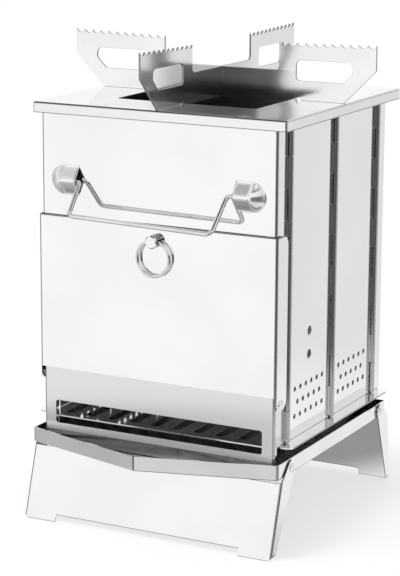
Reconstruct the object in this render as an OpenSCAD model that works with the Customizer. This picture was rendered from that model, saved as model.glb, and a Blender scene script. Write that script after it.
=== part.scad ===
// Folding twig stove of polished sheet steel: a hinged fire box on a grate, over an ash tray with folding
// legs, closed by a loose cover plate that carries a slotted cross for the pot.
// Origin on the ground under the middle of the fire box, +Z up, the fuel door faces -Y.

/* [Fire box] */
// Width across the outer faces of the side walls
box_w = 186; // [160:1:210]
// Depth from the front face to the rear face
box_d = 186; // [160:1:210]
// Height of the walls above the grate
wall_h = 228.6; // [210:0.2:260]
// Thickness of the wall sheets
sheet = 0.8; // [0.6:0.1:1.2]
// Outer radius of the bends in the sheets
bend_r = 1.8; // [1.5:0.1:3]
// Depth of the front and rear walls' side flanges, from the face to the hinge axis
flange_d = 18; // [16:0.5:24]
// Height of the front wall's lower edge above the tray's floor
front_wall_gap = 0.5; // [0.1:0.1:1]
// Drop of the rear wall's lower edge below the grate's top
rear_wall_drop = 8; // [4:0.5:9]

/* [Hinges] */
// Outer radius of the hinge barrels
barrel_r = 2.1; // [2:0.1:3]
// Radius of the hinge pins
pin_r = 1; // [0.8:0.1:1.4]
// Number of knuckles on each hinge line
knuckle_n = 10; // [6:2:12]
// Gap between neighbouring knuckles
knuckle_gap = 0.4; // [0.3:0.1:0.8]
// Free height below the lowest knuckle
hinge_foot = 1.4; // [1:0.1:3]
// Free height above the highest knuckle
hinge_head = 3.2; // [2:0.1:5]

/* [Vents] */
// Margin of the draught window at each side of the front wall
window_margin = 9.5; // [6:0.5:30]
// Height of the draught window
window_h = 17.2; // [12:0.2:20]
// Depth of the draught window's sill below the grate's top
window_sill = 5.1; // [3:0.1:7]
// Radius of the vent holes in the side leaves
vent_r = 2; // [1.2:0.1:2.4]
// Spacing of the vent holes along a row
vent_pitch = 9.2; // [8:0.1:10]
// Spacing of the vent rows
vent_row_pitch = 10; // [8:0.5:12]
// Height of the lowest vent row above the grate's top
vent_z = 15.5; // [12:0.5:20]
// Radius of the two larger holes above the vent rows of a front leaf
port_r = 3.4; // [2.5:0.1:4]
// Spacing of the two larger holes
port_pitch = 17; // [14:0.5:20]
// Height of the lower larger hole above the grate's top
port_z = 56; // [52:1:64]

/* [Fuel door] */
// Gap between the door's flanges and the front wall's flanges
door_side_gap = 1; // [0.5:0.1:1.4]
// Height of the door's front sheet
door_h = 112.5; // [95:0.5:120]
// Height of the door's lower edge above the grate's top
door_z = 37; // [34:0.5:42]
// Distance of the door's outer face ahead of the front wall
door_face = 2.2; // [2:0.1:3]
// Distance of the door's pivots behind the front wall's face
door_pivot_back = 5.5; // [4.5:0.1:5.6]
// Drop of the door's pivots below the door's lower edge
door_pivot_drop = 6.2; // [6.2:0.1:7]
// Shank radius of the door's pivot rivets
door_rivet_r = 2; // [1.5:0.1:2.5]
// Margin of the fuel opening inside the door's outline
fuel_margin = 18; // [14:1:30]

/* [Pull ring] */
// Outer diameter of the ring
ring_d = 27.5; // [24:0.5:34]
// Diameter of the ring's wire
ring_wire = 2.2; // [1.8:0.1:2.8]
// Radius of the stud that holds the ring
stud_r = 4.75; // [4:0.25:5]
// Length of the stud
stud_len = 6.6; // [6:0.2:9]
// Drop of the stud below the door's upper edge
stud_drop = 11; // [9:0.5:16]

/* [Bail] */
// Wire diameter of the bail
bail_wire = 3.4; // [2.8:0.1:3.6]
// Distance of the mouths of the bail pockets inside the side walls
pocket_inset = 31; // [28:0.5:36]
// Half of the height of a bail pocket
pocket_r = 9.6; // [9:0.1:11]
// Length of the straight part of a bail pocket
pocket_len = 12.2; // [10:0.2:13]
// Projection of a bail pocket ahead of the front wall
pocket_out = 7; // [6.6:0.1:8]
// Drop of the bail's axis below the wall's upper edge
bail_drop = 53; // [44:0.5:56]
// Distance of the rail's ends inside the pockets' mouths
rail_inset = 5.5; // [5:0.5:16]
// Length of the bail's arms, from the axis to the rail
arm_len = 30; // [24:0.5:32]
// Angle of the bail from hanging straight down
bail_angle = 42; // [40:1:60]
// Bend radius of the bail at the middle of the wire
bail_bend = 4; // [3.5:0.5:6]
// Sideways play that the bail has taken up towards the left pocket
bail_shift = 1.2; // [0:0.1:1.4]
// Drop of the rail's right end, and rise of its left end, as the bail hangs askew
bail_skew = 1.5; // [0:0.1:2]

/* [Grate] */
// Height of the grate's top above the tray's underside
grate_h = 20.5; // [18:0.5:24]
// Thickness of the grate
grate_t = 1; // [0.8:0.1:1.5]
// Reach of the grate's side lips outside the side walls
lip_reach = 10; // [7:0.5:14]
// Distance of the grate's front and rear edges inside the box's faces
grate_inset = 3; // [2.5:0.1:4]
// Distance of the lips' ends inside the box's faces
lip_inset = 7; // [6:0.5:10]
// Spacing of the slots
slot_pitch = 17.7; // [14:0.1:24]
// Width of a slot
slot_w = 9; // [6:0.5:10]
// Width of the bar that divides the slots in two rows
slot_bridge = 12; // [8:1:20]

/* [Ash tray] */
// Height of the tray's underside above the ground
tray_z = 54.5; // [48:0.5:60]
// Height of the tray's rim above its underside
tray_h = 11; // [10:0.5:12]
// Reach of the tray outside the side walls
tray_side = 6.2; // [5:0.1:7]
// Distance of the tray's front corners ahead of the front wall's face
tray_front = 6; // [4:0.5:8]
// Reach of the tray's pointed front ahead of the front wall's face
nose_reach = 33.8; // [26:0.2:40]
// Distance of the tray's rear edge inside the rear wall's face
tray_rear = 2; // [1:0.1:3]

/* [Legs] */
// Thickness of the leg sheets
leg_t = 1; // [0.8:0.1:1.2]
// Distance of the leg pivots inside the box's faces
leg_pivot_inset = 13.5; // [11:0.5:16]
// Height of the leg pivots above the tray's underside
leg_pivot_h = 5; // [4:0.25:6]
// Radius of the leg's rounded top ends
leg_end_r = 5.5; // [5:0.1:6]
// Gap between the tray's underside and the leg's upper edge
leg_top_gap = 3; // [2:0.5:5]
// Distance of the leg's upper edge outside the box's face
leg_top_out = 2.5; // [1.5:0.5:5]
// Distance of the front feet outside the box's face
front_foot_out = 18.5; // [14:0.5:22]
// Distance of the rear feet outside the box's face
rear_foot_out = 8; // [6:0.5:22]
// Width of the leg's side flange at the ground
leg_flange = 6; // [4:0.5:8]
// Width of a foot
foot_w = 26; // [18:1:32]
// Height of the notch between the feet
notch_h = 5; // [4.5:0.5:8]
// Radius of the leg's lower outer corners
foot_r = 4; // [2:0.5:6]
// Shank radius of the leg rivets
leg_rivet_r = 1.8; // [1.5:0.1:2]

/* [Cover plate] */
// Gap between the cover's rim and the hinge barrels
cover_side_gap = 2.9; // [1:0.1:3.5]
// Gap between the cover's rim and the rear wall
cover_rear_gap = 10.2; // [1:0.2:12]
// Height of the cover's rim
rim_h = 7.7; // [6:0.1:10]
// Sheet thickness of the cover
cover_t = 0.8; // [0.6:0.1:1.2]
// Gap between the cover's rim and the front wall
rim_gap = 0.2; // [0.2:0.1:1]
// Width of the square opening
opening_w = 112; // [96:1:120]
// Depth of the locating notches in the sides of the opening
notch_d = 6; // [4:0.5:8]

/* [Pot cross] */
// Thickness of the bars
bar_t = 1.5; // [1:0.1:2]
// Reach of the bars outside the cover plate
ear_reach = 21.8; // [16:0.2:28]
// Height of the teeth above the cover
ear_h = 42; // [38:0.5:46]
// Drop of the teeth from an ear's outer edge to its inner edge
ear_dip = 1.6; // [0:0.1:3]
// Height of the crossbar above the cover
crossbar_h = 21; // [18:0.5:24]
// Distance of the ear's inner edge inside the locating notches
ear_inset = 15.5; // [13:0.5:20]
// Height of the ear's upright outer edge
ear_edge = 18; // [14:0.5:20]
// Distance of the ear's base end inside the cover's edge
ear_base_inset = 2.4; // [1:0.2:6]
// Number of notches between the teeth
tooth_n = 11; // [6:1:13]
// Depth of the notches between the teeth
tooth_h = 2.3; // [1.5:0.1:3]
// Width of the web beside the ear's window
web_x = 13.5; // [11:0.5:15]
// Width of the web under the ear's window
web_z = 14; // [12:0.5:15]
// Height of the ear's window
ear_window_h = 15; // [12:0.5:16]
// Width of the web at the outer end of the ear's window
web_end = 17.8; // [14:0.2:22]

/* [Hidden] */
$fn = 48;
arc_steps = 6;
wire_sides = 16;
steel = "gainsboro";
dark_steel = "darkgray";

// Clearances of seats, pins and loose pieces
seat_gap = 0.2;
run_gap = 0.05;
slide_gap = 0.3;
cut = 1;
// Straight length left between two rounded corners
arc_spare = 0.1;

// Heights
grate_z = tray_z + grate_h;
wall_z = grate_z + seat_gap;
wall_top = grate_z + wall_h;
cover_under = wall_top + seat_gap;
cover_top = cover_under + cover_t;

// Box and hinge lines
side_x = box_w / 2;
front_y = -box_d / 2;
barrel_tuck = 0.1;
hinge_x = side_x - sheet + barrel_r - barrel_tuck;
hinge_y = box_d / 2 - flange_d;
hinge_z = grate_z + hinge_foot;
knuckle_pitch = (wall_h - hinge_foot - hinge_head) / knuckle_n;
fold_gap = 0.7;
knuckle_clear = barrel_r + fold_gap;
pin_head = 0.8;
strip_w = 4;
vent_rows = 3;
vent_n = 6;
port_n = 2;

// Fuel door
door_w = box_w + 2 * (door_side_gap + sheet);
door_face_y = front_y - door_face;
door_barrel_gap = 0.9;
door_rear_y = -hinge_y - barrel_r - door_barrel_gap;
door_bottom = grate_z + door_z;
door_top = door_bottom + door_h;
door_pivot_y = front_y + door_pivot_back;
door_pivot_z = door_bottom - door_pivot_drop;
door_end = 4.5;
door_end_z = door_pivot_z - door_end;
door_corner_r = 8;
rivet_head = 1.6;
rivet_head_t = 0.8;
fuel_corner_r = 8;
window_corner_r = 2;

// Pull ring
stud_z = door_top - stud_drop;
ring_play = 0.8;
ring_wall = 0.8;
ring_hole_r = ring_wire / 2 + ring_play;
ring_hole_y = door_face_y - ring_hole_r - ring_wall;
ring_major = (ring_d - ring_wire) / 2;
ring_sag = ring_major - sqrt(ring_major * ring_major - stud_r * stud_r);
stud_shank_r = 2;
stud_tail_r = 3.2;
stud_tail_t = 0.6;
stud_dome = 0.9;

// Bail and its pockets
pocket_x = side_x - pocket_inset;
pocket_slope = atan(pocket_out / pocket_r);
pocket_in_r = pocket_r - sheet / sin(pocket_slope);
pocket_in_out = pocket_out - sheet / cos(pocket_slope);
pocket_nose = 0.2;
bail_r = bail_wire / 2;
bail_play = 0.25;
bail_back = bail_r / cos(pocket_slope) + bail_play;
bail_y = front_y - pocket_in_out + bail_back;
bail_axis_z = wall_top - bail_drop;
pin_depth = 9;
rail_x = pocket_x - rail_inset;
arm_top_x = pocket_x - bail_bend;

// Ash tray and legs
tray_w = box_w + 2 * tray_side;
tray_floor = tray_z + sheet;
tray_outline = [
    [-tray_w / 2, front_y - tray_front],
    [0, front_y - nose_reach],
    [tray_w / 2, front_y - tray_front],
    [tray_w / 2, -front_y - tray_rear],
    [-tray_w / 2, -front_y - tray_rear]
];
tray_corner_r = 2;
leg_x = tray_w / 2 + slide_gap;
leg_pivot = [front_y + leg_pivot_inset, tray_z + leg_pivot_h];
leg_top = [front_y - leg_top_out, tray_z - leg_top_gap];
leg_spare = 2 * (leg_pivot_inset + leg_pivot_h);

// Grate
grate_w = box_w + 2 * lip_reach;
skirt_inset = 5;
skirt_x = side_x - skirt_inset;
skirt_y_inset = 12;
skirt_y = box_d / 2 - skirt_y_inset;
plate_gap = 0.8;
plate_x = side_x - sheet - plate_gap;
lip_r = 5;
slot_margin = 7;
slot_end = box_d / 2 - grate_inset - slot_margin;
slot_side = 4;
slot_n = floor((2 * skirt_x - slot_w - slot_side) / slot_pitch) + 1;

// Cover and cross
cover_w = 2 * (hinge_x + barrel_r + cover_side_gap + cover_t);
cover_d = box_d + rim_gap + cover_rear_gap + 2 * cover_t;
cover_y = front_y - rim_gap - cover_t + cover_d / 2;
notch_x = opening_w / 2 + notch_d;
notch_w = bar_t + 2 * slide_gap;
opening_r = 3;
cover_corner_r = 2;
lap_z = crossbar_h / 2;
tooth_steps = 8;
scallop_share = 0.85;
ear_fillet = 3;
ear_window_radii = [3, 1, 3, 4, 4];
base_relief_r = 2;
bar_x = cover_w / 2 + ear_reach;
ear_x = notch_x - ear_inset;
ear_base_x = cover_w / 2 - ear_base_inset;

// Points of the arc that rounds the corner b between a and c
function unit(v) = v / norm(v);
function half_angle(a, b, c) = acos(unit(a - b) * unit(c - b)) / 2;
function bisector(a, b, c) = unit(unit(a - b) + unit(c - b));
function turn(d) = d > 180 ? d - 360 : d < -180 ? d + 360 : d;
function corner(a, b, c, r) = r == 0 ? [b] :
    let (half = half_angle(a, b, c),
        centre = b + bisector(a, b, c) * r / sin(half),
        reach = r / tan(half),
        p = b + unit(a - b) * reach - centre,
        q = b + unit(c - b) * reach - centre,
        from = atan2(p[1], p[0]),
        sweep = turn(atan2(q[1], q[0]) - from))
    [for (i = [0 : arc_steps])
        let (angle = from + sweep * i / arc_steps) centre + r * [cos(angle), sin(angle)]];
function before(p, i) = p[(i + len(p) - 1) % len(p)];
function after(p, i) = p[(i + 1) % len(p)];
function rounded(p, r) = [for (i = [0 : len(p) - 1]) each corner(before(p, i), p[i], after(p, i), r[i])];
function all_round(p, r) = rounded(p, [for (q = p) r]);
// A convex outline moved inwards by t
function inset(p, t) = [for (i = [0 : len(p) - 1])
    let (a = before(p, i), b = p[i], c = after(p, i)) b + bisector(a, b, c) * t / sin(half_angle(a, b, c))];
// Point where a line from the point g touches a circle
function tangent(centre, r, g, side) =
    let (way = g - centre, angle = atan2(way[1], way[0]) + side * acos(r / norm(way)))
    centre + r * [cos(angle), sin(angle)];
function box_points(x0, y0, x1, y1) = [[x0, y0], [x1, y0], [x1, y1], [x0, y1]];
// Plan of a sheet bent into a channel that opens towards +Y
function channel(w, d, t, r) = concat(
    [[-w / 2, d]],
    corner([-w / 2, d], [-w / 2, 0], [w / 2, 0], r),
    corner([-w / 2, 0], [w / 2, 0], [w / 2, d], r),
    [[w / 2, d], [w / 2 - t, d]],
    corner([w / 2 - t, d], [w / 2 - t, t], [t - w / 2, t], r - t),
    corner([w / 2 - t, t], [t - w / 2, t], [t - w / 2, d], r - t),
    [[t - w / 2, d]]);

// A flat outline in X and Z, from y to y + t
module upright(y, t) {
    translate([0, y + t, 0]) rotate([90, 0, 0]) linear_extrude(t) children();
}

// A flat outline in Y and Z, from x to x + t
module sideways(x, t) {
    translate([x, 0, 0]) rotate([90, 0, 90]) linear_extrude(t) children();
}

module both_sides() {
    children();
    mirror([1, 0, 0]) children();
}

module cross_pin(y, z, r, x0, x1) {
    translate([x0, y, z]) rotate([0, 90, 0]) cylinder(r = r, h = x1 - x0);
}

// Every second knuckle on the hinge line at y, joined to the sheet that starts at sheet_y
module knuckle_row(y, sheet_y, first) {
    for (k = [first : 2 : knuckle_n - 1]) {
        translate([hinge_x, y, hinge_z + k * knuckle_pitch + knuckle_gap / 2])
            cylinder(r = barrel_r, h = knuckle_pitch - knuckle_gap);
        translate([side_x - sheet, min(y, sheet_y), hinge_z + k * knuckle_pitch + knuckle_gap / 2])
            cube([sheet, abs(sheet_y - y), knuckle_pitch - knuckle_gap]);
    }
}

module pin_bore(y) {
    translate([hinge_x, y, wall_z - cut]) cylinder(r = pin_r + run_gap, h = wall_h + 2 * cut);
}

module hinge_pin(y) {
    length = knuckle_n * knuckle_pitch;
    color(dark_steel) translate([hinge_x, y, hinge_z - pin_head]) {
        cylinder(r = pin_r + pin_head, h = pin_head);
        cylinder(r = pin_r, h = length + 2 * pin_head);
        translate([0, 0, length + pin_head]) cylinder(r = pin_r + pin_head, h = pin_head);
    }
}

// One half of a folding side wall, between the hinge lines at y0 and y1, with a number of larger holes
module leaf(y0, y1, first0, first1, ports) {
    middle = (y0 + y1) / 2;
    edge0 = y0 + knuckle_clear;
    edge1 = y1 - knuckle_clear;
    color(steel) difference() {
        union() {
            sideways(side_x - sheet, sheet) polygon(box_points(edge0, wall_z, edge1, wall_top));
            knuckle_row(y0, edge0 + cut, first0);
            knuckle_row(y1, edge1 - cut, first1);
        }
        for (row = [0 : vent_rows - 1]) {
            last = vent_n - 1 - row % 2;
            for (i = [0 : last]) {
                cross_pin(middle + (i - last / 2) * vent_pitch, grate_z + vent_z + row * vent_row_pitch,
                    vent_r, side_x - sheet - cut, side_x + cut);
            }
        }
        for (i = [0 : 1 : ports - 1]) {
            cross_pin(middle, grate_z + port_z + i * port_pitch, port_r, side_x - sheet - cut, side_x + cut);
        }
        pin_bore(y0);
        pin_bore(y1);
    }
}

// The front or rear wall as a channel facing -Y, with its hinge knuckles
module wall_channel(bottom) {
    reach = flange_d - knuckle_clear;
    difference() {
        union() {
            translate([0, front_y, bottom])
                linear_extrude(wall_top - bottom) polygon(channel(box_w, reach, sheet, bend_r));
            both_sides() knuckle_row(-hinge_y, front_y + reach - cut, 0);
        }
        both_sides() {
            translate([side_x - sheet - cut, front_y + strip_w, bottom - cut])
                cube([sheet + 2 * cut, flange_d, wall_z - bottom + cut]);
            pin_bore(-hinge_y);
        }
    }
}

// A V ridge along X from x0 that closes in a cone at its outer end, starting at a depth behind the front face
module pocket_form(r, out, x0, depth) {
    length = pocket_x + pocket_len - x0;
    ridge = [[-out, -pocket_nose], [0, -r], [depth, -r], [depth, r], [0, r], [-out, pocket_nose]];
    translate([x0, front_y, bail_axis_z]) hull() {
        sideways(0, length) polygon(ridge);
        translate([length, depth, 0]) rotate([90, 0, 0]) cylinder(r = r, h = depth);
    }
}

module front_panel() {
    window_x = side_x - window_margin;
    window_z = grate_z - window_sill;
    window_top = window_z + window_h;
    fuel_x = door_w / 2 - fuel_margin;
    fuel_z = door_bottom + fuel_margin / 2;
    color(steel) difference() {
        union() {
            wall_channel(tray_floor + front_wall_gap);
            both_sides() pocket_form(pocket_r, pocket_out, pocket_x, sheet / 2);
        }
        both_sides() {
            pocket_form(pocket_in_r, pocket_in_out, pocket_x - cut, sheet + cut);
            cross_pin(door_pivot_y, door_pivot_z, door_rivet_r + run_gap, side_x - sheet - cut, side_x + cut);
        }
        upright(front_y - cut, sheet + 2 * cut) {
            polygon(all_round(box_points(-window_x, window_z, window_x, window_top), window_corner_r));
            polygon(all_round(box_points(-fuel_x, fuel_z, fuel_x, door_top - fuel_margin), fuel_corner_r));
        }
    }
}

module rear_panel() {
    color(steel) rotate([0, 0, 180]) wall_channel(grate_z - rear_wall_drop);
}

module right_front_leaf() {
    leaf(-hinge_y, 0, 1, 0, port_n);
}

module right_rear_leaf() {
    leaf(0, hinge_y, 1, 1, 0);
}

module left_front_leaf() {
    mirror([1, 0, 0]) right_front_leaf();
}

module left_rear_leaf() {
    mirror([1, 0, 0]) right_rear_leaf();
}

module right_front_pin() {
    hinge_pin(-hinge_y);
}

module right_middle_pin() {
    hinge_pin(0);
}

module right_rear_pin() {
    hinge_pin(hinge_y);
}

module left_front_pin() {
    mirror([1, 0, 0]) right_front_pin();
}

module left_middle_pin() {
    mirror([1, 0, 0]) right_middle_pin();
}

module left_rear_pin() {
    mirror([1, 0, 0]) right_rear_pin();
}

module fuel_door() {
    flange = box_points(door_face_y, door_end_z, door_rear_y, door_top);
    end_r = (door_rear_y - door_face_y - arc_spare) / 2;
    color(steel) difference() {
        intersection() {
            translate([0, door_face_y, door_end_z])
                linear_extrude(door_top - door_end_z)
                    polygon(channel(door_w, door_rear_y - door_face_y, sheet, bend_r));
            sideways(-door_w, 2 * door_w) polygon(rounded(flange, [end_r, end_r, door_corner_r, 0]));
        }
        translate([sheet - door_w / 2, door_face_y - cut, door_end_z - cut])
            cube([door_w - 2 * sheet, bend_r + 2 * cut, door_bottom - door_end_z + cut]);
        both_sides() cross_pin(door_pivot_y, door_pivot_z, door_rivet_r + run_gap, side_x, door_w);
        translate([0, door_face_y - cut, stud_z]) rotate([-90, 0, 0])
            cylinder(r = stud_shank_r + run_gap, h = sheet + 2 * cut);
    }
}

module door_rivets() {
    inner = side_x - sheet;
    outer = door_w / 2 + run_gap;
    collar = door_w / 2 - sheet - run_gap;
    color(dark_steel) both_sides() {
        cross_pin(door_pivot_y, door_pivot_z, door_rivet_r + rivet_head, inner - rivet_head_t, inner);
        cross_pin(door_pivot_y, door_pivot_z, door_rivet_r, inner - rivet_head_t, outer + rivet_head_t);
        cross_pin(door_pivot_y, door_pivot_z, door_rivet_r + rivet_head, side_x, collar);
        cross_pin(door_pivot_y, door_pivot_z, door_rivet_r + rivet_head, outer, outer + rivet_head_t);
    }
}

module ring_stud() {
    inside = sheet + stud_tail_t;
    color(dark_steel) difference() {
        translate([0, door_face_y, stud_z]) rotate([90, 0, 0])
            rotate_extrude() polygon([[0, -inside], [stud_tail_r, -inside], [stud_tail_r, -sheet],
                [stud_shank_r, -sheet], [stud_shank_r, 0], [stud_r, 0], [stud_r, stud_len - stud_dome],
                [stud_r - stud_dome, stud_len], [0, stud_len]]);
        cross_pin(ring_hole_y, stud_z, ring_hole_r, -stud_r - cut, stud_r + cut);
    }
}

module pull_ring() {
    hang = ring_major - ring_sag / 2;
    color(steel) translate([0, ring_hole_y, stud_z - hang]) rotate([90, 0, 0])
        rotate_extrude() translate([ring_major, 0]) circle(r = ring_wire / 2);
}

// A round wire along the flat path p, as one closed skin
module bent_wire(p, wire_r) {
    last = len(p) - 1;
    skin = [for (i = [0 : last])
        let (way = unit(p[min(i + 1, last)] - p[max(i - 1, 0)]))
        for (k = [0 : wire_sides - 1])
            let (out = wire_r * cos(360 * k / wire_sides))
            [p[i][0] + out * way[1], p[i][1] - out * way[0], wire_r * sin(360 * k / wire_sides)]];
    sides = [for (i = [0 : last - 1])
        for (k = [0 : wire_sides - 1])
            let (a = i * wire_sides + k, b = i * wire_sides + (k + 1) % wire_sides)
            [a, b, b + wire_sides, a + wire_sides]];
    ends = [[for (k = [wire_sides - 1 : -1 : 0]) k], [for (k = [0 : wire_sides - 1]) last * wire_sides + k]];
    polyhedron(skin, concat(sides, ends));
}

module bail() {
    bends = [
        [-pocket_x - cut, 0], [-arm_top_x, 0], [-rail_x, -arm_len + bail_skew],
        [rail_x, -arm_len - bail_skew], [arm_top_x, 0], [pocket_x + cut, 0]
    ];
    path = rounded(bends, [0, bail_bend, bail_bend, bail_bend, bail_bend, 0]);
    color(dark_steel) translate([-bail_shift, bail_y, bail_axis_z]) rotate([90 - bail_angle, 0, 0]) {
        bent_wire(path, bail_r - run_gap);
        both_sides() translate([pocket_x, 0, 0]) rotate([0, 90, 0]) cylinder(r = bail_r, h = pin_depth);
    }
}

module grate() {
    plate_y = box_d / 2 - grate_inset;
    lip_x = grate_w / 2;
    lip_y = box_d / 2 - lip_inset;
    outline = [
        [-plate_x, -plate_y], [plate_x, -plate_y], [plate_x, -lip_y], [lip_x, -lip_y],
        [lip_x, lip_y], [plate_x, lip_y], [plate_x, plate_y], [-plate_x, plate_y],
        [-plate_x, lip_y], [-lip_x, lip_y], [-lip_x, -lip_y], [-plate_x, -lip_y]
    ];
    half = (slot_end - slot_bridge / 2) / 2;
    slot = box_points(-slot_w / 2, -half, slot_w / 2, half);
    radii = [0, 0, 0, lip_r, lip_r, 0, 0, 0, 0, lip_r, lip_r, 0];
    color(dark_steel) {
        translate([0, 0, grate_z - grate_t]) linear_extrude(grate_t) difference() {
            polygon(rounded(outline, radii));
            for (i = [0 : slot_n - 1]) {
                for (side = [-1, 1]) {
                    translate([(i - (slot_n - 1) / 2) * slot_pitch, side * (slot_end + slot_bridge / 2) / 2])
                        polygon(all_round(slot, (slot_w - arc_spare) / 2));
                }
            }
        }
        both_sides() translate([skirt_x, -skirt_y, tray_floor])
            cube([grate_t, 2 * skirt_y, grate_z - grate_t / 2 - tray_floor]);
    }
}

module ash_tray() {
    color(steel) difference() {
        translate([0, 0, tray_z]) linear_extrude(tray_h) polygon(all_round(tray_outline, tray_corner_r));
        translate([0, 0, tray_floor]) linear_extrude(tray_h)
            polygon(all_round(inset(tray_outline, sheet), tray_corner_r - sheet));
        for (y = [leg_pivot[0], -leg_pivot[0]]) {
            cross_pin(y, leg_pivot[1], leg_rivet_r + run_gap, -tray_w, tray_w);
        }
    }
}

// A leg plate with side flanges that reach up to the pivots, its feet out ahead of the box's face
module leg(out) {
    width = 2 * (leg_x + leg_t);
    top_z = leg_pivot[1] + leg_end_r;
    foot = [front_y - out, 0];
    splay = atan2(leg_top[0] - foot[0], leg_top[1]);
    heel = foot + [leg_flange, 0];
    rear_end = tangent(leg_pivot, leg_end_r, heel, 1);
    front_end = tangent(leg_pivot, leg_end_r, leg_top, -1);
    face = box_points(-width / 2, 0, width / 2, top_z + cut);
    notch = box_points(foot_w - width / 2, -notch_h, width / 2 - foot_w, notch_h);
    color(steel) difference() {
        intersection() {
            translate([0, foot[0], 0]) rotate([-splay, 0, 0]) translate([0, 0, -leg_spare])
                linear_extrude(norm(foot - leg_top) + 2 * leg_spare)
                    polygon(channel(width, leg_spare, leg_t, bend_r));
            sideways(-width, 2 * width) {
                polygon([leg_top, foot, heel, rear_end, leg_pivot, front_end]);
                translate(leg_pivot) circle(r = leg_end_r);
            }
            upright(-box_d, box_d) polygon(rounded(face, [foot_r, foot_r, 0, 0]));
        }
        upright(-box_d, box_d) polygon(rounded(notch, [0, 0, notch_h / 2, notch_h / 2]));
        translate([-leg_x, -box_d, leg_top[1]]) cube([2 * leg_x, box_d, leg_spare]);
        cross_pin(leg_pivot[0], leg_pivot[1], leg_rivet_r + run_gap, -width, width);
    }
}

module front_leg() {
    leg(front_foot_out);
}

module rear_leg() {
    rotate([0, 0, 180]) leg(rear_foot_out);
}

module leg_rivets() {
    inner = tray_w / 2 - sheet;
    outer = leg_x + leg_t + run_gap;
    color(dark_steel) both_sides() for (y = [leg_pivot[0], -leg_pivot[0]]) {
        cross_pin(y, leg_pivot[1], leg_rivet_r + rivet_head, inner - rivet_head_t, inner);
        cross_pin(y, leg_pivot[1], leg_rivet_r, inner - rivet_head_t, outer + rivet_head_t);
        cross_pin(y, leg_pivot[1], leg_rivet_r + rivet_head, outer, outer + rivet_head_t);
    }
}

module cover_plate() {
    x = cover_w / 2;
    y = cover_d / 2;
    hole = opening_w / 2;
    color(steel) translate([0, cover_y, 0]) difference() {
        translate([0, 0, cover_top - rim_h]) linear_extrude(rim_h)
            polygon(all_round(box_points(-x, -y, x, y), cover_corner_r));
        translate([0, 0, cover_under - rim_h]) linear_extrude(rim_h)
            polygon(all_round(box_points(cover_t - x, cover_t - y, x - cover_t, y - cover_t),
                cover_corner_r - cover_t));
        translate([0, 0, cover_under - cut]) linear_extrude(cover_t + 2 * cut) {
            polygon(all_round(box_points(-hole, -hole, hole, hole), opening_r));
            square([2 * notch_x, notch_w], center = true);
            square([notch_w, 2 * notch_x], center = true);
        }
    }
}

// Depth of a notch between two teeth, as a share, for t from -1 at one tooth to 1 at the next
function scallop(t) = sqrt(max(0, 1 - pow(t / scallop_share, 2)));

// Outline of a pot bar, u along the bar and z above the cover
module bar_outline() {
    tip = bar_x - ear_x;
    tab = notch_x - slide_gap;
    steps = tooth_steps * tooth_n;
    teeth = [for (i = [0 : steps])
        [ear_x + tip * i / steps,
            ear_h - ear_dip * (1 - i / steps) - tooth_h * scallop(2 * (i % tooth_steps) / tooth_steps - 1)]];
    right = concat([[tab, -cover_t], [tab, 0], [ear_base_x, 0], [bar_x, ear_h - ear_edge]],
        [for (i = [len(teeth) - 1 : -1 : 0]) teeth[i]],
        corner([ear_x, ear_h], [ear_x, crossbar_h], [0, crossbar_h], ear_fillet));
    left = [for (i = [len(right) - 1 : -1 : 0]) [-right[i][0], right[i][1]]];
    inner_x = ear_x + web_x;
    outer_x = bar_x - web_end;
    slope = (bar_x - ear_base_x) / (ear_h - ear_edge);
    cut_z = web_z + ear_window_h / 2;
    window = rounded([[inner_x, web_z], [outer_x - slope * (cut_z - web_z), web_z], [outer_x, cut_z],
        [outer_x, web_z + ear_window_h], [inner_x, web_z + ear_window_h]], ear_window_radii);
    difference() {
        polygon(concat(right, left));
        for (side = [-1, 1]) {
            polygon([for (q = window) [side * q[0], q[1]]]);
            translate([side * notch_x, 0]) circle(r = base_relief_r);
        }
    }
}

module lap_slot(z0, z1) {
    polygon(box_points(-notch_w / 2, z0, notch_w / 2, z1));
}

module lower_pot_bar() {
    color(steel) translate([0, cover_y, cover_top]) upright(-bar_t / 2, bar_t) difference() {
        bar_outline();
        lap_slot(lap_z, crossbar_h + cut);
    }
}

module upper_pot_bar() {
    color(steel) translate([0, cover_y, cover_top]) sideways(-bar_t / 2, bar_t) difference() {
        bar_outline();
        lap_slot(-cover_t - cut, lap_z + seat_gap);
    }
}

ash_tray();
front_leg();
rear_leg();
leg_rivets();
grate();
rear_panel();
right_rear_leaf();
right_front_leaf();
left_rear_leaf();
left_front_leaf();
front_panel();
right_rear_pin();
right_middle_pin();
right_front_pin();
left_rear_pin();
left_middle_pin();
left_front_pin();
fuel_door();
door_rivets();
ring_stud();
pull_ring();
bail();
cover_plate();
lower_pot_bar();
upper_pot_bar();
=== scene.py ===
import math

import bmesh
import bpy
import numpy as np
from mathutils import Matrix


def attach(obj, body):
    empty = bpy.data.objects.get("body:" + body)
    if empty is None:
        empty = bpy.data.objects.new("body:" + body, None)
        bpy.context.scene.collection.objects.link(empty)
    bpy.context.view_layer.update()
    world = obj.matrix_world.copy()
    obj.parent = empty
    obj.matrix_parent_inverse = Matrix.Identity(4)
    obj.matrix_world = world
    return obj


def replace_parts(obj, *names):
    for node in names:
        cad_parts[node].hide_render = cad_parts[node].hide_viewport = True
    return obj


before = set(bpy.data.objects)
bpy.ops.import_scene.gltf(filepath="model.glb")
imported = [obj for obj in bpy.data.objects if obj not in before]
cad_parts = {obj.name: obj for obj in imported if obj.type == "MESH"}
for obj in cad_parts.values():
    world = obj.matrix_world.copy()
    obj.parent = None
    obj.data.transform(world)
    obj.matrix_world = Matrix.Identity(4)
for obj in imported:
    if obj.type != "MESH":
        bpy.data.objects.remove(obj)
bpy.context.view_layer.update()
print("stove frame loaded:", len(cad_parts), "nodes")


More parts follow.
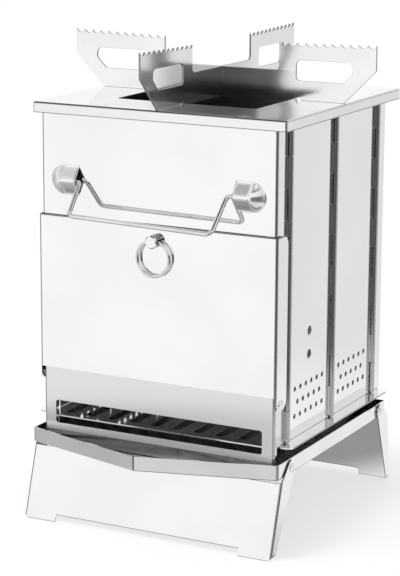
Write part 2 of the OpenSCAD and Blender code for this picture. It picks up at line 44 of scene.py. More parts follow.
# an object put in the scene by its three axes and its place
def placeObject(name, data, right, up, back, place):
    turn = np.eye(4)
    turn[:3] = np.stack([right, up, back, place], axis=-1)
    placed = bpy.data.objects.new(name, data)
    placed.matrix_world = Matrix(turn.tolist())
    bpy.context.scene.collection.objects.link(placed)
    return placed


# camera, worked out from the corners of the box, the cover and the legs
stoveView = {
    "place": (0.6826, -1.3319, 0.5013),  # metres
    "yaw": 27.616,  # degrees, turned to the left of straight at the front
    "pitch": 12.812,  # degrees, looking down
    "roll": 0.29,
    "focal": 2068.9,  # in pixels of the image
    "imageHeight": 576,
    "filmWidth": 36.0,  # millimetres, on the long side
}


def aimCamera(view):
    yaw, pitch, roll = (math.radians(view[key]) for key in ("yaw", "pitch", "roll"))
    level = np.array([math.cos(yaw), math.sin(yaw), 0.0])
    across = np.array([-math.sin(yaw), math.cos(yaw), 0.0])
    ahead = math.cos(pitch) * across - math.sin(pitch) * np.array([0.0, 0.0, 1.0])
    rise = np.cross(level, ahead)
    right = math.cos(roll) * level + math.sin(roll) * rise
    up = math.cos(roll) * rise - math.sin(roll) * level
    data = bpy.data.cameras.new("stoveCamera")
    data.sensor_fit = "AUTO"
    data.sensor_width = view["filmWidth"]
    data.lens = view["focal"] * view["filmWidth"] / view["imageHeight"]
    bpy.context.scene.camera = placeObject("stoveCamera", data, right, up, -ahead, view["place"])


aimCamera(stoveView)
print("camera set")


# shader maths: a wire is a socket that can be added, multiplied and so on, each time by one Math node
class Wire:
    def __init__(self, bench, socket):
        self.bench = bench
        self.socket = socket

    def sum(self, operation, left, right):
        return self.bench.put("ShaderNodeMath", {"operation": operation}, {0: left, 1: right})

    def __add__(self, other):
        return self.sum("ADD", self, other)

    def __radd__(self, other):
        return self.sum("ADD", other, self)

    def __sub__(self, other):
        return self.sum("SUBTRACT", self, other)

    def __rsub__(self, other):
        return self.sum("SUBTRACT", other, self)

    def __mul__(self, other):
        return self.sum("MULTIPLY", self, other)

    def __rmul__(self, other):
        return self.sum("MULTIPLY", other, self)

    def __truediv__(self, other):
        return self.sum("DIVIDE", self, other)

    def __rtruediv__(self, other):
        return self.sum("DIVIDE", other, self)

    def __pow__(self, other):
        return self.sum("POWER", self, other)

    def __lt__(self, other):
        return self.sum("LESS_THAN", self, other)

    def __gt__(self, other):
        return self.sum("GREATER_THAN", self, other)

    def __abs__(self):
        return self.bench.put("ShaderNodeMath", {"operation": "ABSOLUTE"}, {0: self})

    def out(self, name):
        return Wire(self.bench, self.bench.find(self.socket.node.outputs, name))


class Bench:
    def __init__(self, tree):
        self.tree = tree
        tree.nodes.clear()

    def find(self, sockets, key):
        if isinstance(key, int):
            return sockets[key]
        return next(s for s in sockets if s.identifier == key or (s.name == key and s.enabled))

    # one node: its settings first, then a value or a wire for each named socket
    def put(self, kind, settings=None, sockets=None, out=0):
        node = self.tree.nodes.new(kind)
        for name, value in (settings or {}).items():
            setattr(node, name, value)
        for name, value in (sockets or {}).items():
            socket = self.find(node.inputs, name)
            if isinstance(value, Wire):
                self.tree.links.new(value.socket, socket)
            else:
                socket.default_value = value
        return Wire(self, self.find(node.outputs, out)) if len(node.outputs) else None

    def axes(self, vector):
        split = self.put("ShaderNodeSeparateXYZ", None, {"Vector": vector}, "X")
        return split, split.out("Y"), split.out("Z")

    # smooth rise of a value from 0 at low to 1 at high
    def rise(self, value, low, high):
        return self.put("ShaderNodeMapRange", {"interpolation_type": "SMOOTHSTEP"},
                        {"Value": value, "From Min": low, "From Max": high})

    # a band that rises over the first pair of values and falls over the second
    def band(self, value, start, end):
        return self.rise(value, *start) * (1 - self.rise(value, *end))

    def blendShade(self, share, first, second):
        return self.put("ShaderNodeMix", {"data_type": "RGBA"},
                        {"Factor_Float": share, "A_Color": first, "B_Color": second}, "Result_Color")

    def blendValue(self, share, first, second):
        return self.put("ShaderNodeMix", {"data_type": "FLOAT"},
                        {"Factor_Float": share, "A_Float": first, "B_Float": second}, "Result_Float")

    def noise(self, place, scale, stretch, detail):
        spread = self.put("ShaderNodeMapping", None, {"Vector": place, "Scale": stretch})
        return self.put("ShaderNodeTexNoise", None, {"Vector": spread, "Scale": scale, "Detail": detail})


def grey(level):
    return (level, level, level, 1.0)


grain = {
    "detail": 3.0,  # how fine the noise of marks and patches goes
    "wipeEdge": (0.35, 0.65),  # where wiped patches turn from dark to light
    "depth": 0.00002,  # metres, depth of the rolling marks
}
noseSlope = 0.2802  # of the tray's pointed front, y over x


# polished sheet: a bright mirror with faint rolling marks and wiped patches; each zone of the plan has its
# own shade and roughness inside limits in metres on x, half (x without its sign), y, z and nose (y as
# measured from the tray's pointed front); a third number is the width over which the zone fades out there
# most zones paint shade, dark reflections or highlights into the colour, as their notes say
def makeSteel(name, plan):
    steel = bpy.data.materials.new(name)
    steel.use_nodes = True
    bench = Bench(steel.node_tree)
    place = bench.put("ShaderNodeTexCoord", None, None, "Object")
    x, y, z = bench.axes(place)
    measures = {"x": x, "half": abs(x), "y": y, "z": z, "nose": y - noseSlope * abs(x)}
    rolling = bench.noise(place, 1.0, plan["rolling"], grain["detail"])
    wiped = bench.noise(place, plan["wipeScale"], (1.0, 1.0, 1.0), grain["detail"])
    light, dark = plan["shade"]
    tone = bench.blendShade(bench.rise(wiped, *grain["wipeEdge"]), grey(dark), grey(light))
    rough = plan["rough"] + plan["roughSpread"] * (rolling + wiped - 1)  # both vary about a half
    for limits, zoneShade, zoneRough in plan.get("zones", []):
        zone = 1.0
        for axis, (low, high, *fade) in limits.items():
            if fade:
                zone = bench.band(measures[axis], (low, low + fade[0]), (high - fade[0], high)) * zone
                continue
            if low is not None:
                zone = (measures[axis] > low) * zone
            if high is not None:
                zone = (measures[axis] < high) * zone
        tone = bench.blendShade(zone, tone, grey(zoneShade))
        rough = bench.blendValue(zone, rough, zoneRough)
    bump = bench.put("ShaderNodeBump", None,
                     {"Height": rolling, "Strength": plan["bump"], "Distance": grain["depth"]})
    shader = bench.put("ShaderNodeBsdfPrincipled", None,
                       {"Base Color": tone, "Roughness": rough, "Metallic": 1.0, "Normal": bump})
    bench.put("ShaderNodeOutputMaterial", None, {"Surface": shader})
    return steel


sheetLook = {"shade": (0.94, 0.90), "rough": 0.06, "roughSpread": 0.04, "rolling": (60.0, 60.0, 1800.0),
             "wipeScale": 14.0, "bump": 0.05}
barLook = {"shade": (0.95, 0.90), "rough": 0.14, "roughSpread": 0.05, "rolling": (1500.0, 1500.0, 60.0),
           "wipeScale": 22.0, "bump": 0.04}
rivetLook = {"shade": (0.90, 0.84), "rough": 0.07, "roughSpread": 0.04, "rolling": (400.0, 400.0, 400.0),
             "wipeScale": 60.0, "bump": 0.03}
marksAcross = {"rolling": (60.0, 1800.0, 60.0)}  # on flat plates, from left to right
marksBack = {"rolling": (1500.0, 60.0, 60.0)}  # or from front to back
fireBox = {"half": (None, 0.0926), "y": (-0.0926, 0.0926)}
fireHigh = {**fireBox, "z": (0.2, None)}
fireLow = ({**fireBox, "z": (None, 0.2)}, 0.86, 0.42)  # low down: rougher, and lighter than the painted shade above
knuckles = ({"half": (0.0932, None)}, 0.46, 0.10)  # rolled hinges outside the walls, in painted shade
trayInside = {"half": (None, 0.0987), "nose": (-0.1263, None), "y": (None, 0.0905)}
trayAhead = {**trayInside, "y": (None, -0.0938)}
steelPlans = {
    "wallSteel": {**sheetLook, "zones": [
        ({"half": (0.0913, 0.0932), "y": (0.0913, None)}, 0.42, 0.16),  # rear bends, painted darker as dark reflections
        knuckles, fireLow,
        (fireHigh, 0.30, 0.32),  # painted shade higher up
        ({**fireHigh, "x": (-0.02, 0.30, 0.08)}, 0.88, 0.55)]},  # but painted lighter and rougher on the right
    "frontSteel": {**sheetLook, "zones": [
        ({"z": (None, 0.1125)}, 0.76, 0.12),  # grey strip under the door, a painted darker reflection
        ({"z": (0.0648, 0.0702), "y": (None, -0.0928)}, 0.97, 0.50),  # rougher edge under the window, painted lighter as a highlight
        ({"half": (0.0913, 0.0932), "y": (None, -0.0913)}, 0.42, 0.16),  # front bends, painted darker as dark reflections
        knuckles, fireLow,
        (fireHigh, 0.45, 0.45)]},  # painted shade higher up
    "doorSteel": {**sheetLook, "zones": [
        ({"half": (0.0930, 0.09478), "y": (None, -0.0934)}, 0.42, 0.16),  # side bends, painted darker as dark reflections
        ({"z": (0.2237, None)}, 0.20, 0.30),  # upper edge, painted shade of the gap above the door
        ({"half": (None, 0.0941), "y": (-0.0950, 0.0)}, 0.50, 0.26)]},  # back, painted shade to darken the gap behind the door
    "pocketSteel": {**sheetLook, "shade": (0.95, 0.90), "rough": 0.26, "zones": [
        ({"x": (None, -0.0725)}, 0.95, 0.50)]},  # worn round end on the left
    "traySteel": {**sheetLook, "shade": (0.88, 0.82), "wipeScale": 18.0, "zones": [
        ({**trayInside, "y": (-0.0938, 0.0905), "z": (0.0549, None)}, 0.14, 0.24),  # painted shade under the fire
        ({**trayAhead, "z": (0.0549, 0.0580)}, 0.46, 0.18),  # floor ahead of the box, painted darker as shade
        ({**trayAhead, "z": (0.0580, 0.0653)}, 0.96, 0.60),  # front wall inside, rougher and painted lighter as a highlight
        ({"half": (None, 0.0006), "y": (None, -0.1255)}, 0.12, 0.30),  # seam at the point
        ({"half": (0.0977, None), "y": (None, -0.0977)}, 0.35, 0.20),  # front corners, painted darker as dark reflections
        ({"x": (0.0, None), "z": (None, 0.0553)}, 0.22, 0.25)]},  # lower bend on the right, a painted shadow line
    "legSteel": {**sheetLook, "shade": (0.92, 0.88), "rough": 0.09, "wipeScale": 18.0, "zones": [
        ({"half": (0.0988, 0.10045)}, 0.42, 0.16),  # side bends, painted darker as dark reflections
        ({"z": (None, 0.0006)}, 0.50, 0.30),  # foot edges, a painted contact shadow
        ({"half": (None, 0.0745), "z": (0.0049, 0.0057)}, 0.50, 0.30)]},  # edge of the notch, a painted shadow line
    "coverSteel": {**sheetLook, **marksAcross, "shade": (0.90, 0.86), "wipeScale": 16.0, "zones": [
        ({"z": (0.3033, 0.304585)}, 0.60, 0.16),  # bends, painted darker as dark reflections
        ({"z": (0.3036, 0.304585), "y": (None, -0.0925)}, 0.12, 0.20),  # front bend, painted nearly black as a dark reflection
        ({"z": (None, 0.2975)}, 0.32, 0.30)]},  # foot of the rim, a painted shadow line
    "grateSteel": {**sheetLook, **marksBack, "shade": (0.92, 0.84), "wipeScale": 20.0, "zones": [
        ({**fireBox, "y": (-0.0897, 0.0897), "z": (0.07404, 0.07496)}, 0.98, 0.70),  # slot edges, rougher and painted lighter as highlights
        ({"half": (0.0932, None)}, 0.94, 0.08),  # lips, painted lighter as a highlight
        ({"half": (0.1027, None)}, 0.35, 0.25)]},  # edges of the lips
    "lowerBarSteel": {**barLook, "zones": [
        ({"x": (-0.066, 0.066, 0.030), "z": (None, 0.3253)}, 0.50, 0.14),  # middle painted darker as a dark reflection
        ({"y": (0.00428, 0.00572)}, 0.30, 0.35)]},  # cut edges
    "upperBarSteel": {**barLook, "zones": [
        ({"y": (-0.055, 0.065, 0.040), "z": (None, 0.3253)}, 0.72, 0.14),  # middle painted darker as a dark reflection
        ({"half": (None, 0.00072)}, 0.30, 0.35)]},  # cut edges
    "wireSteel": {"shade": (0.80, 0.72), "rough": 0.03, "roughSpread": 0.02, "rolling": (300.0, 300.0, 300.0),
                  "wipeScale": 40.0, "bump": 0.02},
    "rivetSteel": rivetLook,
    "studSteel": {**rivetLook, "zones": [({"y": (-0.1008, None)}, 0.26, 0.12)]},  # side of the stud, painted darker as a dark reflection
    "pinSteel": {"shade": (0.50, 0.42), "rough": 0.18, "roughSpread": 0.06, "rolling": (300.0, 300.0, 900.0),
                 "wipeScale": 40.0, "bump": 0.05},
}
steels = {name: makeSteel(name, plan) for name, plan in steelPlans.items()}

nodeSteel = {
    "ash_tray": "traySteel", "front_leg": "legSteel", "rear_leg": "legSteel", "leg_rivets": "rivetSteel",
    "grate": "grateSteel", "rear_panel": "wallSteel", "front_panel": "frontSteel", "fuel_door": "doorSteel",
    "right_rear_leaf": "wallSteel", "right_front_leaf": "wallSteel", "left_rear_leaf": "wallSteel",
    "left_front_leaf": "wallSteel", "right_rear_pin": "pinSteel", "right_middle_pin": "pinSteel",
    "right_front_pin": "pinSteel", "left_rear_pin": "pinSteel", "left_middle_pin": "pinSteel",
    "left_front_pin": "pinSteel", "door_rivets": "rivetSteel", "ring_stud": "studSteel",
    "pull_ring": "wireSteel", "bail": "wireSteel", "cover_plate": "coverSteel",
    "lower_pot_bar": "lowerBarSteel", "upper_pot_bar": "upperBarSteel",
}
for nodeName, steelName in nodeSteel.items():
    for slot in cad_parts[nodeName].material_slots:
        slot.material = steels[steelName]
print("steels made:", len(steels))

perMetre = 1000  # lengths in the plans of the new pieces are in millimetres
joinWithin = {"corners": 1e-6, "slivers": 1e-7}  # metres


# a surface on a grid of points: rows of corners, closed round each row and along the rows where asked
def gridMesh(name, points, closedRows, closedRing):
    rows, ring = points.shape[:2]
    index = np.arange(rows * ring).reshape(rows, ring)
    if closedRing:
        index = np.concatenate([index, index[:, :1]], axis=1)
    if closedRows:
        index = np.concatenate([index, index[:1]], axis=0)
    quads = np.stack([index[:-1, :-1], index[:-1, 1:], index[1:, 1:], index[1:, :-1]], axis=-1).reshape(-1, 4)
    mesh = bpy.data.meshes.new(name)
    mesh.from_pydata(points.reshape(-1, 3), [], quads)
    mesh.polygons.foreach_set("use_smooth", np.ones(len(quads), dtype=bool))
    mesh.update()
    return mesh


# the grids of one piece in one mesh: doubled corners at seams and poles are joined; a closed shell also has
# its faces turned outwards and its edges past the angle kept sharp
def shellMesh(name, grids, sharp=40.0, closed=True):
    work = bmesh.new()
    for grid in grids:
        work.from_mesh(grid)
        bpy.data.meshes.remove(grid)
    bmesh.ops.remove_doubles(work, verts=work.verts, dist=joinWithin["corners"])
    bmesh.ops.dissolve_degenerate(work, edges=work.edges, dist=joinWithin["slivers"])
    if closed:
        bmesh.ops.recalc_face_normals(work, faces=work.faces)
    mesh = bpy.data.meshes.new(name)
    work.to_mesh(mesh)
    work.free()
    if closed:
        mesh.set_sharp_from_angle(angle=math.radians(sharp))
    return mesh


def addPiece(name, mesh, body, steel):
    mesh.materials.append(steels[steel])
    piece = bpy.data.objects.new(name, mesh)
    bpy.context.scene.collection.objects.link(piece)
    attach(piece, body)
    return piece


bailPlan = {
    "axis": (-96.656, 250.6),  # y and z of the pins
    "tilt": 42.0,  # degrees, how far the arms lean out from hanging straight down
    "shift": -1.2,
    "skew": 1.5,  # the rail hangs lower on the right
    "pinEnd": 71.0,
    "armTop": 58.0,
    "railEnd": 56.5,
    "arm": 30.0,
    "bend": 4.0,
    "wire": 1.65,  # radius
    "chamfer": 0.3,  # at the wire's ends, as a share of its radius
    "bendSteps": 14,
    "around": 32,
}


# a path with rounded corners: at each corner an arc tangent to both runs, as a weighted sum of its end radii
def roundPath(corners, radius, steps):
    runs = [corners[:1]]
    for before, corner, after in zip(corners[:-2], corners[1:-1], corners[2:]):
        back = (before - corner) / np.linalg.norm(before - corner)
        on = (after - corner) / np.linalg.norm(after - corner)
        half = math.acos(back @ on) / 2
        middle = corner + (back + on) / np.linalg.norm(back + on) * radius / math.sin(half)
        first = corner + back * radius / math.tan(half) - middle
        last = corner + on * radius / math.tan(half) - middle
        sweep = math.pi - 2 * half
        turn = np.linspace(0.0, sweep, steps)[:, None]
        runs.append(middle + (np.sin(sweep - turn) * first + np.sin(turn) * last) / math.sin(sweep))
    return np.concatenate(runs + [corners[-1:]])


# wire: a circle of the wire's radius carried along the path, square to it, with a small chamfer at both ends
def wirePoints(path, plane, radius, chamfer, around):
    ends = [path[0] - path[1], path[-1] - path[-2]]
    ends = [end / np.linalg.norm(end) * chamfer for end in ends]
    path = np.concatenate([[path[0], path[0], path[0] - ends[0]], path[1:-1],
                           [path[-1] - ends[1], path[-1], path[-1]]])
    size = np.full(len(path), radius)
    size[[0, -1]] = 0.0
    size[[1, -2]] = radius - chamfer
    along = np.gradient(path[2:-2], axis=0)
    along = np.concatenate([along[:1], along[:1], along, along[-1:], along[-1:]])
    along /= np.linalg.norm(along, axis=1, keepdims=True)
    side = np.cross(plane, along)
    turn = np.linspace(0.0, 2 * math.pi, around, endpoint=False)
    rim = np.cos(turn)[None, :, None] * side[:, None] + np.sin(turn)[None, :, None] * plane
    return (path[:, None] + size[:, None, None] * rim) / perMetre


def makeBail(plan):
    lean = math.radians(plan["tilt"])
    down = np.array([0.0, -math.sin(lean), -math.cos(lean)])
    plane = np.array([0.0, -math.cos(lean), math.sin(lean)])
    left, right = plan["arm"] - plan["skew"], plan["arm"] + plan["skew"]
    flat = np.array([[-plan["pinEnd"], 0.0], [-plan["armTop"], 0.0], [-plan["railEnd"], left],
                     [plan["railEnd"], right], [plan["armTop"], 0.0], [plan["pinEnd"], 0.0]])
    corners = np.array([0.0, *plan["axis"]]) + flat[:, 1:] * down
    corners[:, 0] += flat[:, 0] + plan["shift"]
    path = roundPath(corners, plan["bend"], plan["bendSteps"])
    points = wirePoints(path, plane, plan["wire"], plan["chamfer"] * plan["wire"], plan["around"])
    mesh = shellMesh("bailWire", [gridMesh("bailGrid", points, False, True)])
    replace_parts(addPiece("bailWire", mesh, "bail", "wireSteel"), "bail")


makeBail(bailPlan)

pocketPlan = {
    "mouth": 62.0,  # from the middle of the panel, as is the next
    "endMiddle": 74.2,
    "radius": 10.2,
    "middle": 250.6,  # height
    "face": -93.03,  # a hair ahead of the panel
    "out": 7.5,
    "ridge": 0.10,  # roundness of the ridge, as a share of the radius
    "foot": 0.6,  # roundness of the foot
    "domePower": 0.8,  # below 1 for a fuller dome
    "turnPower": 0.7,  # below 1 for a quicker turn from the slopes to the dome
    "wall": 0.9,
    "skirt": 1.04,  # how far the skin goes out, as a share of the radius
    "straightSteps": 10,
    "roundSteps": 40,
    "outSteps": 28,
}


# pocket skin: distance from the ridge over the radius gives the height, two slopes to a rounded ridge that
# turn into a dome round the end, made tangent to the panel at the foot; the path goes along the upper edge,
# round the end and back along the lower edge
def pocketPoints(plan, side):
    straight = np.linspace(plan["mouth"], plan["endMiddle"], plan["straightSteps"])
    turn = np.linspace(math.pi / 2, -math.pi / 2, plan["roundSteps"])[1:-1]
    base = np.concatenate([straight, np.full(len(turn), plan["endMiddle"]), straight[::-1]])
    aim = np.concatenate([np.full(len(straight), math.pi / 2), turn, np.full(len(straight), -math.pi / 2)])
    share = np.linspace(0.0, plan["skirt"], plan["outSteps"])
    ridge, foot, out = plan["ridge"], plan["foot"], plan["out"]
    cone = (math.hypot(1.0, ridge) - np.hypot(share, ridge)) / (math.hypot(1.0, ridge) - ridge)
    dome = np.clip(1.0 - share * share, 0.0, None) ** plan["domePower"]
    domed = np.sin(np.clip(np.cos(aim), 0.0, 1.0) ** plan["turnPower"] * math.pi / 2)[:, None]
    height = out * ((1 - domed) * np.clip(cone, 0.0, None) + domed * dome)
    height = height * height / (height + foot) * (out + foot) / out
    reach = plan["radius"] * share
    x = base[:, None] + reach * np.cos(aim)[:, None]
    z = plan["middle"] + reach * np.sin(aim)[:, None]
    points = np.stack([side * x, plan["face"] - height, z], axis=-1) / perMetre
    return points[::-1] if side > 0 else points


def makePockets(plan):
    halves = [gridMesh("pocketHalf", pocketPoints(plan, side), False, False) for side in (-1, 1)]
    mesh = shellMesh("bailPockets", halves, closed=False)
    piece = addPiece("bailPockets", mesh, "front_wall", "pocketSteel")
    wall = piece.modifiers.new("pocketWall", "SOLIDIFY")
    wall.thickness = plan["wall"] / perMetre
    wall.offset = -1.0


makePockets(pocketPlan)


# outline of a plate with round corners and its outward normals: at each corner the normal turns from that of
# the side before to that of the side after, about a middle that lies one radius inside both sides
def roundOutline(corners, radius, steps):
    corners = np.array(corners)
    along = np.roll(corners, -1, axis=0) - corners
    after = np.stack([along[:, 1], -along[:, 0]], axis=-1) / np.linalg.norm(along, axis=1, keepdims=True)
    before = np.roll(after, 1, axis=0)
    middle = corners - radius * (before + after) / (1 + (before * after).sum(axis=1, keepdims=True))
    first = np.arctan2(before[:, 1], before[:, 0])
    sweep = np.arctan2(before[:, 0] * after[:, 1] - before[:, 1] * after[:, 0], (before * after).sum(axis=1))
    aim = first[:, None] + sweep[:, None] * np.linspace(0.0, 1.0, steps)
    normal = np.stack([np.cos(aim), np.sin(aim)], axis=-1)
    return (middle[:, None] + radius * normal).reshape(-1, 2), normal.reshape(-1, 2)


# pan of bent sheet: an outline carried over rows, from the core over the flat face, round the bend, along the
# wall to its free edge and back inside to the core; a row is so far in from the outline, and so deep from the
# face towards the edge
def panPoints(plan, outline, normal, core, face, edge):
    sheet, bend, flatEnd = plan["sheet"], plan["bend"], plan["bend"] + plan["support"]
    depth, innerBend = abs(edge - face), bend - sheet
    turn = np.linspace(0.0, math.pi / 2, plan["bendSteps"])
    insets = np.concatenate([[flatEnd], bend * (1 - np.sin(turn)), [0.0, 0.0, sheet, sheet],
                             sheet + innerBend * (1 - np.sin(turn[::-1])), [flatEnd]])
    depths = np.concatenate([[0.0, 0.0], bend * (1 - np.cos(turn)), [flatEnd, depth, depth, flatEnd],
                             sheet + innerBend * (1 - np.cos(turn[::-1])), [sheet, sheet]])
    core = np.broadcast_to(core, (1,) + outline.shape)
    rows = np.concatenate([core, outline - insets[:, None, None] * normal, core])
    heights = face + math.copysign(1.0, edge - face) * depths
    return np.dstack([rows, np.broadcast_to(heights[:, None], rows.shape[:2])]) / perMetre


coverPlan = {
    "half": (100.0, 99.0),  # outer half sizes
    "middle": (0.0, 5.0),
    "corner": 2.0,
    "top": 304.6,
    "sheet": 0.8,
    "bend": 1.5,
    "rimFoot": 296.9,
    "opening": 56.0,
    "openingCorner": 3.0,
    "notchEnd": 62.0,
    "notchHalf": 1.05,
    "support": 0.25,  # flat strip beside each bend, so that the flat faces stay flat
    "cornerSteps": 9,
    "bendSteps": 9,
    "angleDigits": 9,  # to which two angles count as one
}


# cover: a pan whose core is the opening, a quarter of its outline turned about the middle four times; both
# outlines are read at the same angles about the middle, so that the rows match
def makeCover(plan):
    halfX, halfY = plan["half"]
    outer, outward = roundOutline([(halfX, halfY), (-halfX, halfY), (-halfX, -halfY), (halfX, -halfY)],
                                  plan["corner"], plan["cornerSteps"])
    half, notch, radius = plan["opening"], plan["notchHalf"], plan["openingCorner"]
    arc = np.linspace(0.0, math.pi / 2, plan["cornerSteps"])
    quarter = np.concatenate([
        [[plan["notchEnd"], -notch], [plan["notchEnd"], notch], [half, notch]],
        half - radius + radius * np.stack([np.cos(arc), np.sin(arc)], axis=-1), [[notch, half]]])
    quarterTurn = np.array([[0.0, 1.0], [-1.0, 0.0]])
    inner = np.concatenate([quarter @ np.linalg.matrix_power(quarterTurn, k) for k in range(4)])
    outerAngle, innerAngle = (np.arctan2(edge[:, 1], edge[:, 0]) for edge in (outer, inner))
    angles = np.unique(np.round(np.concatenate([outerAngle, innerAngle]), plan["angleDigits"]))

    def read(values, at):
        return np.stack([np.interp(angles, at, column, period=2 * math.pi) for column in values.T], axis=-1)

    rim, normal, opening = read(outer, outerAngle), read(outward, outerAngle), read(inner, innerAngle)
    normal /= np.linalg.norm(normal, axis=1, keepdims=True)
    middle = np.array(plan["middle"])
    points = panPoints(plan, rim + middle, normal, opening + middle, plan["top"], plan["rimFoot"])
    mesh = shellMesh("coverPan", [gridMesh("coverGrid", points, True, True)])
    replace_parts(addPiece("coverPan", mesh, "cover", "coverSteel"), "cover_plate")


makeCover(coverPlan)

trayPlan = {
    "corners": [(-99.2, -99.0), (0.0, -126.8), (99.2, -99.0), (99.2, 91.0), (-99.2, 91.0)],
    "corner": 2.0,
    "middle": (0.0, -10.0),
    "under": 54.5,
    "rim": 65.5,
    "sheet": 0.8,
    "bend": 1.4,
    "support": 0.25,
    "cornerSteps": 9,
    "bendSteps": 7,
}


# tray: a pan whose core is the middle of its underside and floor
def makeTray(plan):
    outline, normal = roundOutline(plan["corners"], plan["corner"], plan["cornerSteps"])
    points = panPoints(plan, outline, normal, plan["middle"], plan["under"], plan["rim"])
    mesh = shellMesh("ashPan", [gridMesh("trayGrid", points, False, True)])
    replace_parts(addPiece("ashPan", mesh, "tray", "traySteel"), "ash_tray")


makeTray(trayPlan)

barPlan = {
    "bars": {"lowerPotBar": ("lower_pot_bar", "lower_bar", "lowerBarSteel"),
             "upperPotBar": ("upper_pot_bar", "upper_bar", "upperBarSteel")},
    "edge": 0.35,  # how far the edges are rounded over
    "edgeSteps": 2,
    "edgeAngle": 30.0,  # degrees, past which an edge is rounded
    "flatAngle": 1.0,  # degrees, up to which faces are joined
}


# pot bars: a merged copy of each plate, its flat faces joined up and its edges rounded over
def makeBar(name, node, body, steel, plan):
    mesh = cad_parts[node].data.copy()
    mesh.name = name
    mesh.materials.clear()
    work = bmesh.new()
    work.from_mesh(mesh)
    bmesh.ops.remove_doubles(work, verts=work.verts, dist=joinWithin["corners"])
    bmesh.ops.dissolve_limit(work, angle_limit=math.radians(plan["flatAngle"]),
                             verts=work.verts, edges=work.edges)
    work.to_mesh(mesh)
    work.free()
    piece = addPiece(name, mesh, body, steel)
    edge = piece.modifiers.new("barEdge", "BEVEL")
    edge.width = plan["edge"] / perMetre
    edge.segments = plan["edgeSteps"]
    edge.limit_method = "ANGLE"
    edge.angle_limit = math.radians(plan["edgeAngle"])
    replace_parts(piece, node)


for barName, (barNode, barBody, barSteel) in barPlan["bars"].items():
    makeBar(barName, barNode, barBody, barSteel, barPlan)

rivetShape = {
    "chamfer": 0.3,  # at the tail
    "headEdge": 0.25,  # straight edge of the head under its dome
    "dome": 1.2,
    "sharp": 35.0,  # degrees
    "around": 40,
    "domeSteps": 10,
}
rivetPlans = {
    "doorRivetHeads": {**rivetShape, "node": "door_rivets", "body": "front_wall", "places": [(-87.5, 105.8)],
                       "head": 3.6, "shank": 2.0, "tail": (91.4, 92.2), "collar": (93.0, 93.95),
                       "seat": 94.85},
    "legRivetHeads": {**rivetShape, "node": "leg_rivets", "body": "tray",
                      "places": [(-79.5, 59.5), (79.5, 59.5)], "head": 3.4, "shank": 1.8,
                      "tail": (97.6, 98.4), "collar": None, "seat": 100.55},
}


# rivet: a profile of place along the axis and radius turned about the axis, a flat tail, a shank, in the
# door's pair a collar, and a head whose dome is an arc from the edge to the middle
def rivetPoints(plan, side, place):
    tailStart, tailEnd = plan["tail"]
    head, shank, seat, chamfer = plan["head"], plan["shank"], plan["seat"], plan["chamfer"]
    profile = [(tailStart, 0.0), (tailStart, head - chamfer), (tailStart + chamfer, head), (tailEnd, head),
               (tailEnd, shank)]
    if plan["collar"]:
        start, end = plan["collar"]
        profile += [(start, shank), (start, head), (end, head), (end, shank)]
    profile += [(seat, shank), (seat, head)]
    ball = (head ** 2 + plan["dome"] ** 2) / (2 * plan["dome"])  # radius of the dome's arc
    reach = head * np.cos(np.linspace(0.0, math.pi / 2, plan["domeSteps"]))
    arc = seat + plan["headEdge"] + np.sqrt(ball ** 2 - reach ** 2) - (ball - plan["dome"])
    profile = np.concatenate([profile, np.stack([arc, reach], axis=-1)])
    turn = np.linspace(0.0, 2 * math.pi, plan["around"], endpoint=False)
    along = np.broadcast_to(side * profile[:, :1], (len(profile), len(turn)))
    across = place[0] + profile[:, 1:] * np.cos(turn)
    up = place[1] + profile[:, 1:] * np.sin(turn)
    return np.stack([along, across, up], axis=-1) / perMetre


def makeRivets(name, plan):
    grids = [gridMesh("singleRivet", rivetPoints(plan, side, place), False, True)
             for place in plan["places"] for side in (-1, 1)]
    mesh = shellMesh(name, grids, plan["sharp"])
    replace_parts(addPiece(name, mesh, plan["body"], "rivetSteel"), plan["node"])


for rivetName, rivetPlan in rivetPlans.items():
    makeRivets(rivetName, rivetPlan)
print("new pieces made: bail, pockets, cover, tray, bars, rivets")


